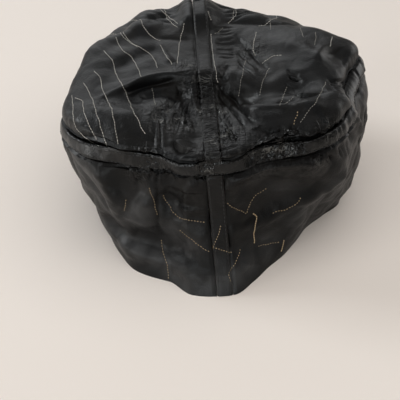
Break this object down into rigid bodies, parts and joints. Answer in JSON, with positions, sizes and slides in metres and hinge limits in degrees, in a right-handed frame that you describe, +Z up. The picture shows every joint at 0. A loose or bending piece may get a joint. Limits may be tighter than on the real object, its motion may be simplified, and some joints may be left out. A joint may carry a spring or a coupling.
{
  "type": "leather flat cap",
  "caption": "Soft leather flat cap with a panelled crown, flat strips over the seams, side panels and a stiff front peak.",
  "frame": {"origin": "on the table under the cap, in the middle of its outline seen from above", "axes": "+Z up out of the crown, -Y towards the peak at the front, +Y towards the back seam, +X towards the wearer's left"},
  "size_m": [0.2386, 0.2874, 0.1328],
  "materials": {
    "panel_leather": "soft black leather, satin, creased",
    "strip_leather": "black leather, a little smoother than the panels, satin",
    "peak_leather": "black leather over a stiff board, satin",
    "thread": "worn gold-coloured sewing thread, matte"
  },
  "bodies": {
    "root": {"crown_left": "panel_leather", "crown_right": "panel_leather", "top_seam_strip": "strip_leather", "edge_strip_left": "strip_leather", "edge_strip_right": "strip_leather", "side_left": "panel_leather", "side_right": "panel_leather", "back_seam_strip": "strip_leather", "peak": "peak_leather"}
  },
  "joints": []
}
